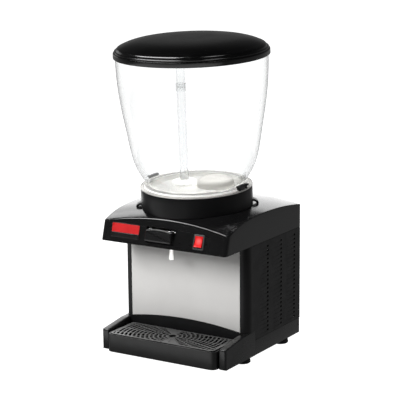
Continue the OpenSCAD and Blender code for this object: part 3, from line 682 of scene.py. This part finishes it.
def switch():
    F = lambda u, v, w: (u + 94, w, v + 25)
    out = rect(-13.7, 13.7, -17, 17, 2.4)
    rows = [(0, 0.02), (0, -1.5), (0.2, -2.1), (0.7, -2.45), (1.2, -2.5), (2.6, -2.5), (3.1, -2.3), (3.4, -1.8), (3.4, 14), (2.8, 14), (2.8, 0.02)]
    v, f = extruded(out, rows, F, ring=True)
    make("switch_frame", v, f, TF, "bezel", "housing", "switch_bezel", "black_satin")
    back = extruded(rect(-10.9, 10.9, -14.1, 14.1, 0.8), [(0, 10), (0, 19.6), (0.6, 20)], F)
    pins = [boxm(94 + x - 1, 94 + x + 1, 19, 27, 21, 29) for x in (-6, 0, 6)]
    v, f = join(back, *pins)
    make("switch_body", v, f, TF, "satin", "housing", "switch_bezel", "black_satin")
    # rocker: concave face, rounded ends
    prof = [(-5.2 - 2.3 * (z / 12.6) ** 2, z) for z in [12.6 - 25.2 * k / 22 for k in range(23)]]
    prof[0] = (*prof[0], 0.9)
    prof[-1] = (*prof[-1], 0.9)
    prof += [(2, -8), (4, 0), (2, 8)]
    prof = fillet(prof, True, 4)
    R = TF @ Matrix.Translation((94, 3, 25)) @ Matrix.Rotation(radians(-7), 4, "X")
    if sum(a[0] * b[1] - b[0] * a[1] for a, b in zip(prof, prof[1:] + prof[:1])) < 0:
        prof = prof[::-1]
    rows = [(0.9, -10), (0.35, -9.85), (0.08, -9.5), (0, -9), (0, 9), (0.08, 9.5), (0.35, 9.85), (0.9, 10)]
    v, f = extruded(prof, rows, lambda a, b, w: (w, a, b))
    make("switch_rocker_red", v, f, R, "rocker", "rocker", "switch_rocker", "rocker_red", sharp=45)


# ---------------------------------------------------------------- bowl seat
def bowl_r(h):
    t = (h - 12) / 288
    return 111 + 60.5 * (1 - (1 - t) ** 2 + 1.277 * t * exp(-(t / 0.25) ** 2))


def deck_h(r, a, gap):
    """Height, along the bowl's axis, where a point at radius r and angle a meets the deck."""
    h = -40.0
    for _ in range(30):
        p = Vector((r * cos(a), r * sin(a) * cos(TILT) - h * sin(TILT) - 19.8, r * sin(a) * sin(TILT) + h * cos(TILT) + 370.6))
        h -= (p.z - dome_z(p.x, p.y) - gap) / cos(TILT)
    return h


def collar():
    n = 192
    R0, R1 = 128.2, 124.6
    top = [(R1, 2.5), (R1 + 0.25, 3.1), (R1 + 0.8, 3.5), (R0 - 1.6, 3.5), (R0 - 0.75, 3.3), (R0 - 0.2, 2.75), (R0, 1.9)]
    loops = []
    for r, h in top:
        loops.append([(r * cos(2 * pi * k / n), r * sin(2 * pi * k / n), h) for k in range(n)])
    bot_o = [deck_h(R0, 2 * pi * k / n, 0.4) for k in range(n)]
    bot_i = [deck_h(R1, 2 * pi * k / n, 0.4) for k in range(n)]
    for t in (0.25, 0.5, 0.75):
        loops.append([(R0 * cos(2 * pi * k / n), R0 * sin(2 * pi * k / n), 1.9 + (bot_o[k] - 0.9) * t) for k in range(n)])
    loops.append([(R0 * cos(2 * pi * k / n), R0 * sin(2 * pi * k / n), bot_o[k] + 0.8) for k in range(n)])
    loops.append([((R0 - 0.8) * cos(2 * pi * k / n), (R0 - 0.8) * sin(2 * pi * k / n), bot_o[k]) for k in range(n)])
    loops.append([(R1 * cos(2 * pi * k / n), R1 * sin(2 * pi * k / n), bot_i[k]) for k in range(n)])
    v, f = loft(loops, ring=True)
    make("collar_band", v, f, TB, "collar", "housing", "collar_ring", "black_satin")
    # finger lugs on the deck, left and right of the collar
    for i, a in enumerate((32, 212)):
        am = radians(a)
        hb = deck_h(135, am, 0.45)
        w = 11.0
        arc = [(127.7 + 14 * sin(pi / 2 * k / 14), -46 + 14 * cos(pi / 2 * k / 14)) for k in range(15)]
        arc = [p for p in arc if p[1] > hb + 1.0]
        arc_i = [(127.7 + 9.8 * sin(pi / 2 * k / 14), -46 + 9.8 * cos(pi / 2 * k / 14)) for k in range(15)]
        arc_i = [p for p in arc_i if p[1] > hb + 1.0]
        prof = [(126.4, -32.0)] + arc + [(arc[-1][0], hb + 0.2), (arc_i[-1][0], hb + 0.2)] + arc_i[::-1] + [(126.4, -36.2)]
        prof = prof[::-1]
        if sum(p[0] * q[1] - q[0] * p[1] for p, q in zip(prof, prof[1:] + prof[:1])) < 0:
            prof = prof[::-1]
        rows = [(0.9, -w), (0.3, -w + 0.3), (0, -w + 0.9), (0, w - 0.9), (0.3, w - 0.3), (0.9, w)]
        v, f = extruded(prof, rows, lambda p, q, s: (p * cos(am) - s * sin(am), p * sin(am) + s * cos(am), q))
        make("collar_lug_%d" % (i + 1), v, f, TB, "collar", "housing", "collar_ring", "black_satin")


def pan():
    prof = [(0, 4.0), (60, 3.75), (88.6, 3.4, 1.2), (90.4, -9, 1.5), (109.4, -9, 1.5), (109.4, 6.2, 0.9),
            (119.6, 6.2), (120.1, 5.75), (120.9, 5.75), (121.4, 6.2), (124.4, 6.2), (124.9, 5.7), (125.7, 5.7), (126.2, 6.2),
            (128.8, 6.2, 0.9), (128.8, 3.7, 0.4), (127.4, 3.7, 0.3), (127.4, 4.6), (110.9, 4.6, 0.6), (110.9, -10.5, 1.5), (89, -10.5, 1.5),
            (87.4, 1.9, 1.0), (0, 2.5)]
    v, f = revolve(fillet(prof, True, 4), 192)
    ob = make("evaporator_dish", v, f, TB, "pan", "housing", "evaporator_pan", "steel", sharp=50)
    ob.data.materials.append(MAT["ring"])
    inv = TB.inverted()
    for q in ob.data.polygons:
        c = inv @ q.center
        q.material_index = 1 if sqrt(c.x * c.x + c.y * c.y) > 111 else 0
    # cooling dome on the floor of the dish
    top = spline([(43, 2.9), (42.9, 7), (42.6, 11), (39.5, 17.5), (33, 21.8), (22, 24.2), (0, 25)], 5)
    low = [(0, 23.5), (21.8, 22.7), (32.3, 20.4), (38.2, 16.4), (41.1, 10.6), (41.4, 2.9)]
    v, f = revolve(top + low, 96)
    make("evaporator_dome", [(a + 40, b + 18, c) for a, b, c in v], f, TB, "dome", "housing", "evaporator_pan", "steel", sharp=50)


def bowl():
    N = 44
    hs = [13.4 + 286.6 * (k / N) ** 1.3 for k in range(N + 1)]
    prof = [(107.5, 9.3, 0.6), (118.3, 9.3, 0.9), (118.3, 12.4, 0.9), (111, 12.4, 0.6)]
    prof += [(bowl_r(h), h) for h in hs]
    prof += [(171.5, 307.6, 1.4), (168.0, 307.6, 1.4)]
    prof += [(bowl_r(h) - 3.5, h) for h in hs[::-1]]
    v, f = revolve(fillet(prof, True, 4), 192)
    ob = make("clear_bowl_shell", v, f, TB, "clear", "housing", "bowl", "clear", sharp=50)
    ob.data.materials.append(MAT["foot"])
    inv = TB.inverted()
    for q in ob.data.polygons:
        q.material_index = 1 if (inv @ q.center).z < 16 else 0


def lid():
    dome = spline([(168.9, 321.5), (167.8, 324.0), (164.8, 326.6), (158.6, 329.4), (147.8, 333.7), (132.8, 337.7), (115, 340.5), (95, 342),
                   (73, 342.8), (50, 343.2), (0, 343.4)], 4)
    # band, rounded edge, groove, bead, groove, then the dome
    prof = [(172.5, 304.0, 0.6), (176.2, 304.0, 1.0), (176.0, 313.9, 0.3), (175.5, 315.4, 0.9), (173.8, 316.4, 0.6), (172.5, 316.5, 0.3), (172.3, 317.5, 0.3),
            (173.0, 317.9, 0.4), (173.1, 319.2, 0.6), (172.1, 320.1, 0.6), (170.2, 320.2, 0.3), (169.3, 320.5, 0.3)]
    prof += dome
    prof += [(0, 340.4), (50, 340.2), (95, 339), (115, 337.4), (131.5, 334.7), (146, 330.6), (157, 325.4), (163.5, 319.6),
             (166.5, 308), (172.5, 308)]
    v, f = revolve(fillet(prof, True, 4), 192)
    make("lid_shell", v, f, TB, "lid", "lid", "lid", "black_gloss", sharp=50)


def clip(name, turn, body, node):
    R = TB @ Matrix.Translation((0, 0, 4)) @ Matrix.Rotation(radians(turn), 4, "Z")
    plate = fillet([(114, -17, 2.0), (125.6, -17, 2.0), (125.6, 8), (129.4, 13), (127, 20, 3.0), (120, 21.4, 3.0), (114.6, 16, 2.0)], True, 5)
    Z = lambda u, v, w: (u, v, w)
    top = extruded(plate, [(0.5, 8.9), (0, 9.3), (0, 11.3), (0.3, 11.9), (0.9, 12.2)], Z)
    skirt = extruded(rect(119.9, 125.6, -17, 5.5, 1.2), [(0.4, 2.6), (0, 3.0), (0, 9.4)], Z)
    tab = extruded(rect(119, 124, -21, -16, 1.0), [(0.5, 4.9), (0, 5.4), (0, 11.2), (0.5, 12.0), (1.0, 12.2)], Z)
    boss = loft([[(122.2 + r * cos(2 * pi * k / 28), 14 + r * sin(2 * pi * k / 28), h) for k in range(28)]
                 for r, h in ((2.04, 2.6), (3.4, 2.6), (3.6, 2.8), (3.6, 9.2), (2.04, 9.2))], ring=True)
    v, f = join(top, skirt, tab, boss)
    make(name, v, f, R, "satin", body, node, "black_satin")


def feet():
    for i, (x, y) in enumerate([(148, -68), (-148, -68), (149, 107), (-149, 107)]):
        prof = fillet([(3.1, 4), (6, 4), (6, 0, 0.4), (17, 0, 0.8), (19, 2, 1.2), (17.5, 11, 0.8), (3.1, 11)], True, 4)
        v, f = revolve(prof, 48)
        make("foot_%d" % (i + 1), [(a + x, b + y, c - 11) for a, b, c in v], f, TM, "rubber", "housing", "feet", "rubber")


# ---------------------------------------------------------------- base
def base():
    parts = []
    for s in (1, -1):
        prof = [(-171, 0, 2.2), (-40, 0), (-40, 59), (-95, 57, 60), (-171, 47, 4.5)]
        prof = fillet(prof, True, 8)
        if sum(p[0] * q[1] - q[0] * p[1] for p, q in zip(prof, prof[1:] + prof[:1])) < 0:
            prof = prof[::-1]
        rows = [(2.6, 2.6, 148.3), (1.25, 1.25, 148.65), (0.4, 0.4, 149.5), (0, 0, 150.9), (0, 0, 160.0), (0.3, 0, 161.9), (1.0, 0.0, 163.4),
                (1.9, 0.2, 164.5), (3.2, 0.7, 165.3), (4.6, 1.3, 165.8), (6.0, 2.2, 166.0)]
        # only the front and top edges are rounded; the rear end runs into the skirt
        loops = []
        for o, ot, w in rows:
            lp = []
            for (a, b), (p, _), (_, q) in zip(prof, inset(prof, o), inset(prof, ot)):
                if a > -40.5:
                    p = a
                if b < 0.5:
                    q = b
                lp.append((s * w, p, q))
            loops.append(lp)
        v, f = loft(loops)
        make("base_arm_%s" % ("right" if s > 0 else "left"), v, f, TM, "base", "housing", "base_frame", "black_satin")
    # skirt round the sides and rear
    path = fillet([(HW, -40), (HW, HD, 2.5), (-HW, HD, 2.5), (-HW, -40)], False, 5)
    n = len(path)
    inner = []
    for i, p in enumerate(path):
        a, b = Vector(path[max(i - 1, 0)]), Vector(path[min(i + 1, n - 1)])
        t = (b - a).normalized()
        inner.append((p[0] - t.y * 3.5, p[1] + t.x * 3.5))
    if abs(inner[0][0]) > HW:
        inner = [(2 * p[0] - q[0], 2 * p[1] - q[1]) for p, q in zip(path, inner)]
    mix = lambda t: [(a[0] + (b[0] - a[0]) * t, a[1] + (b[1] - a[1]) * t) for a, b in zip(path, inner)]
    sect = [(0.0, 0.6), (0.12, 0.0), (1.0, 0.0), (1.0, 36.0), (0.25, 36.0), (0.08, 35.7), (0.0, 35.0)]
    verts, faces = [], []
    for t, z in sect:
        verts += [(x, y, z) for x, y in mix(t)]
    m = len(sect)
    for j in range(m):
        for i in range(n - 1):
            a, b = j * n + i, ((j + 1) % m) * n + i
            faces.append([a, a + 1, b + 1, b])
    faces.append([j * n for j in range(m)])
    faces.append([j * n + n - 1 for j in range(m)][::-1])
    ob = make("base_skirt", verts, faces, TM, "base", "housing", "base_frame", "black_satin")
    cut(ob, [(*boxm(s * 163 - 4, s * 163 + 4, y0, y1, z0, z1), TM) for s in (-1, 1) for y0, y1, z0, z1 in ((163, 167, 19, 30),)])
    finish_mesh(ob, 32)
    dress(ob, "base", "housing", "base_frame")
    # arched wall behind the tray, floor below the tray, flange that carries the pan
    R = 894.0
    arc = lambda x: 72 - R + sqrt(R * R - x * x)
    pts = [(-149, 0), (149, 0)] + [(149 - 298 * k / 48, arc(149 - 298 * k / 48)) for k in range(49)]
    v, f = extruded(pts, [(0, -75.1), (0, -78.0), (0.25, -78.45), (0.7, -78.6)], lambda u, w, d: (u, d, w))
    make("base_back_wall", v, f, TM, "wall", "housing", "base_frame", "black_satin")
    v, f = boxm(-149, 149, -166, -75.2, 0.1, 2.5)
    make("base_floor", v, f, TM, "base", "housing", "base_frame", "black_satin")
    v, f = join(boxm(-162, -124, -75, 170, 0.1, 3.5), boxm(124, 162, -75, 170, 0.1, 3.5), boxm(-124, 124, -75, -48, 0.1, 3.5),
                boxm(-124, 124, 140, 170, 0.1, 3.5))
    make("base_flange", v, f, TM, "base", "housing", "base_frame", "black_satin")


def tray():
    def out(o):
        w = 145.5 if o < 2.2 else 142.5
        return rect(-w + o, w - o, -184.5 + o, -79.6 - o, [max(15 - o, 0.4), max(15 - o, 0.4), max(2 - o, 0.3), max(2 - o, 0.3)], 9)
    low = lambda y: 0.2 if y < -167 else 3.0
    loops = []
    for o, z in [(8, 0), (1.4, 0), (0.5, 0.3), (0.12, 0.8), (0, 1.6)]:
        loops.append([(x, y, low(y) + z) for x, y in out(o)])
    for o, z in [(0, 22), (0, 40.2), (0.12, 41.0), (0.45, 41.6), (1.1, 42.0), (1.9, 42.0), (2.4, 41.8), (2.6, 41.4), (2.6, 39.9), (2.8, 39.7),
                 (4.5, 39.7), (4.8, 39.4), (4.8, 8.0), (5.3, 6.2), (7.0, 5.5)]:
        loops.append([(x, y, z) for x, y in out(o)])
    v, f = loft(loops)
    make("drip_tray_shell", v, f, TM, "tray", "tray", "drip_tray", "tray_grey")
    ob = from_cad("drip_grille", "grille", 0.45, 2, 30, "drip_grille_plate")
    ob.data.materials.append(MAT["gap"])
    for q in ob.data.polygons:                     # painted shade: the walls of the slots get the near-black shadow material
        q.material_index = 1 if abs(q.normal.z) < 0.3 else 0


def spout():
    t = 221.3
    prof = fillet([(4.1, t + 0.5, 0.2), (4.6, t, 0.3), (5.5, t, 0.4), (6.0, t + 1.2, 0.6), (4.3, 243.5, 2), (4.6, 246, 0.3), (8, 246, 0.5), (8, 252), (3, 252), (3, 240)], True, 4)
    v, f = revolve(prof, 48)
    make("spout_tip", [(a - 4, b - 122, c) for a, b, c in v], f, TM, "white", "housing", "spout", "white_plastic")


hood()
fascia()
paddle()
switch()
collar()
pan()
bowl()
lid()
clip("clip_plate_right", 0, "clip_right", "bowl_clip_right")
clip("clip_plate_left", 180, "clip_left", "bowl_clip_left")
feet()
base()
tray()
spout()

# ---------------------------------------------------------------- carried-over nodes
from_cad("rear_panel", "side", 0.3, 1, 30, "rear_panel_skin")
def rear_louvres():
    """Pressed hoods over the slots of the rear panel: closed at the top and the ends, open below."""
    parts = []
    for z in range(70, 215, 12):
        for x in (-70, 0, 70):
            loops = []
            for k in range(13):
                t = k / 12
                u = x - 29.4 + 58.8 * t
                b = 1 - abs(2 * t - 1) ** 6            # the hood dies into the sheet at both ends
                d = 0.25 + 4.2 * b
                outer = [(0.0, 6.6), (0.45 * d, 6.0), (0.8 * d, 4.2), (d, 1.6), (d, -0.6)]
                inner = [(d - 0.9 * b - 0.1, -0.6), (d - 0.9 * b - 0.1, 1.4), (0.8 * d - 0.8 * b - 0.1, 3.6), (0.0, 5.2)]
                loops.append([(u, HD - 0.55 + p, z + q) for p, q in outer + inner])
            parts.append(loft(loops))
    v, f = join(*parts)
    make("rear_panel_louvres", v, f, TM, "side", "housing", "rear_panel", "side_black")


rear_louvres()
spring = from_cad("valve_spring", "bolt", 0, 1, 30, "valve_spring_coil", 0.5)
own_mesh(spring)
from_cad("hood_floor", "fascia", 0.4, 2, 30, "hood_floor_skin")
from_cad("cord_gland", "satin", 0.5, 2, 30, "cord_gland_skin")
from_cad("panel_screws", "bolt", 0.2, 1, 30, "panel_screw_heads")
from_cad("splash_panel", "steel", 0.25, 2, 30, "splash_sheet")
paint("side", "side_panel_left", "side_panel_right")
paint("gap", "tap_housing")
paint("tube", "riser_tube", "riser_sleeve", "spray_tube", "spray_cap")
paint("white", "tap_body", "valve_plunger", "tap_nut", "impeller", "terminal_block")
paint("pump", "pump_cover")
paint("gasket", "bowl_gasket")
paint("rubber", "plunger_seals", "compressor_mounts")
paint("bolt", "foot_screws", "rocker_pin", "lever_pin", "clip_pins", "impeller_shaft")
paint("plate", "base_pan", "motor_bracket", "condenser_fins")
paint("copper", "evaporator_coil", "condenser_tubes", "filter_drier", "refrigerant_tubes")
paint("motor", "compressor", "pump_motor", "fan_motor", "drive_magnet")
paint("satin", "fan_shroud", "fan_blade", "thermostat")
paint("collar", "neck_ring")
paint("foam", "insulation")

# ---------------------------------------------------------------- stage
def floor_mat():
    """Back-lit white table: pale, almost shadowless."""
    m, nt, b, v = base_mat("studio_floor")
    nt.links.new(ramp(nt, noise(nt, v, 0.8, 2), [(0.3, (0.30, 0.30, 0.30)), (0.7, (0.32, 0.32, 0.32))]), b.inputs["Base Color"])
    b.inputs["Roughness"].default_value = 0.9
    b.inputs["Specular IOR Level"].default_value = 0.1
    nt.links.new(ramp(nt, noise(nt, v, 0.5, 2), [(0.3, (0.98, 0.98, 0.98)), (0.7, (1.0, 1.0, 1.0))]), b.inputs["Emission Color"])
    b.inputs["Emission Strength"].default_value = 1.15
    return m


me = bpy.data.meshes.new("floor")
S = 60.0
me.from_pydata([(-S, -S, 0), (S, -S, 0), (S, S, 0), (-S, S, 0)], [], [[0, 1, 2, 3]])
floor = bpy.data.objects.new("floor", me)
SC.collection.objects.link(floor)
me.materials.append(floor_mat())
floor.visible_glossy = False
floor.visible_diffuse = False

# ---------------------------------------------------------------- light
world = bpy.data.worlds.new("studio")
SC.world = world
world.use_nodes = True
wt = world.node_tree
wt.nodes.clear()
wo = wt.nodes.new("ShaderNodeOutputWorld")
bg = wt.nodes.new("ShaderNodeBackground")
wt.links.new(bg.outputs[0], wo.inputs[0])
tcw = wt.nodes.new("ShaderNodeTexCoord")
sp = wt.nodes.new("ShaderNodeSeparateXYZ")
wt.links.new(tcw.outputs["Generated"], sp.inputs[0])
g = lambda v: (v, v, v)
up = span(wt, sp.outputs[2], 0, 1, -1, 1)      # height of the direction, -1..1 -> 0..1
e = lambda z: (z + 1) / 2
rear = ramp(wt, up, [(0.0, g(0.28)), (e(-0.3), g(0.28)), (e(-0.05), g(0.22)), (e(0.1), g(0.16)), (e(0.3), g(0.05)), (e(0.6), g(0.02)), (e(0.9), g(0.005))])
frnt = ramp(wt, up, [(0.0, g(0.20)), (e(-0.3), g(0.15)), (e(-0.1), g(0.10)), (e(0.1), g(0.09)), (e(0.4), g(0.09)), (e(0.7), g(0.04)), (e(0.9), g(0.003))])
side = span(wt, sp.outputs[1], 0, 1, -0.35, 0.35)
mix = wt.nodes.new("ShaderNodeMix")
mix.data_type = "RGBA"
wt.links.new(side, mix.inputs["Factor"])
wt.links.new(frnt, mix.inputs["A"])
wt.links.new(rear, mix.inputs["B"])
wt.links.new(mix.outputs["Result"], bg.inputs["Color"])
bg.inputs["Strength"].default_value = 1.0


def area(name, pos, target, size, radiance, glossy=False, diffuse=True, through=False):
    d = bpy.data.lights.new(name, "AREA")
    d.shape = "RECTANGLE"
    d.size, d.size_y = size
    d.energy = radiance * pi * size[0] * size[1]
    o = bpy.data.objects.new(name, d)
    SC.collection.objects.link(o)
    o.location = pos
    o.rotation_euler = (Vector(target) - Vector(pos)).to_track_quat("-Z", "Y").to_euler()
    o.visible_camera = False
    o.visible_transmission = through
    o.visible_glossy = glossy
    o.visible_diffuse = diffuse
    return o


area("overhead", (0, 0.1, 2.6), (0, 0.0999, 0), (3.0, 3.0), 3.0, False, True, True)
area("key", (-0.9, -2.5, 1.85), (0, 0, 0.3), (1.4, 1.4), 14.5, False, True)
area("softbox", (-1.2, -0.62, 2.6), (-1.2, -0.62001, 0), (2.0, 0.8), 15.0, True, False)
area("rear_card_left", (-0.76, 0.45, 0.35), (-0.76, 0.0, 0.35), (0.68, 0.70), 2.1, True, False)
area("rear_card_top", (-0.79, 0.45, 0.80), (-0.79, 0.0, 0.80), (0.42, 0.20), 3.2, True, False)
area("rear_card_right", (-0.185, 0.45, 0.27), (-0.185, 0.0, 0.27), (0.47, 0.54), 1.9, True, False)
area("front_card", (-0.55, -0.60, 0.003), (-0.55, -0.60001, 1.0), (1.5, 0.7), 1.35, True, False)
area("rim_card", (0.5, -2.3, 0.004), (0.5, -2.30001, 1.0), (6.0, 3.0), 1.25, True, False)
area("top_card", (0.62, 0.02, 2.4), (0.0, 0.0, 0.7), (0.55, 0.45), 4.0, True, False)
area("lid_card", (-2.0, 0.7, 0.95), (0.0, 0.0, 0.7), (0.9, 0.7), 0.5, True, False)
area("spout_fill", (0.16, -0.42, 0.08), (-0.004, -0.105, 0.24), (0.3, 0.3), 7.4)
area("bowl_fill", (0, 0, 0.62), (0, 0.00001, 0), (0.24, 0.24), 7.0)
# the cards light the hood, not the bowl and the lid above it
spare = bpy.data.collections.new("clear_pieces")
spare.objects.link(bpy.data.objects["clear_bowl_shell"])
spare.objects.link(bpy.data.objects["lid_shell"])
for c in spare.collection_objects:
    c.light_linking.link_state = "EXCLUDE"
for n in ("rear_card_left", "rear_card_top", "rear_card_right"):
    bpy.data.objects[n].light_linking.receiver_collection = spare
# the key lights the object, not the back-lit table
table = bpy.data.collections.new("table_pieces")
table.objects.link(floor)
for c in table.collection_objects:
    c.light_linking.link_state = "EXCLUDE"
bpy.data.objects["key"].light_linking.receiver_collection = table
# the low card in front is kept off the clear wall
wall = bpy.data.collections.new("bowl_pieces")
wall.objects.link(bpy.data.objects["clear_bowl_shell"])
for c in wall.collection_objects:
    c.light_linking.link_state = "EXCLUDE"
bpy.data.objects["front_card"].light_linking.receiver_collection = wall
# three cards draw the lid's stepped rim
top = bpy.data.collections.new("lid_pieces")
top.objects.link(bpy.data.objects["lid_shell"])
for n in ("rim_card", "top_card", "lid_card"):
    bpy.data.objects[n].light_linking.receiver_collection = top

# light thrown up from the table onto the spout
low = bpy.data.collections.new("spout_pieces")
low.objects.link(bpy.data.objects["spout_tip"])
bpy.data.objects["spout_fill"].light_linking.receiver_collection = low

# ---------------------------------------------------------------- camera
cam = bpy.data.cameras.new("camera")
co = bpy.data.objects.new("camera", cam)
SC.collection.objects.link(co)
az, el, roll = radians(31.881), radians(12.824), radians(0.498)
back = Vector((sin(az) * cos(el), -cos(az) * cos(el), sin(el)))
rt = Vector((cos(az), sin(az), 0))
upv = back.cross(rt)
rx = rt * cos(roll) - upv * sin(roll)
ux = upv * cos(roll) + rt * sin(roll)
pos = TM @ Vector((1855.70, -2983.53, 1096.79))
co.matrix_world = Matrix(((rx.x, ux.x, back.x, pos.x), (rx.y, ux.y, back.y, pos.y), (rx.z, ux.z, back.z, pos.z), (0, 0, 0, 1)))
cam.sensor_fit = "HORIZONTAL"
cam.sensor_width = 36.0
cam.lens = 1563.81 / 400 * 36
cam.shift_x = -1.36 / 400
cam.shift_y = 16.39 / 400
cam.clip_end = 200
SC.camera = co
SC.view_settings.view_transform = "Standard"
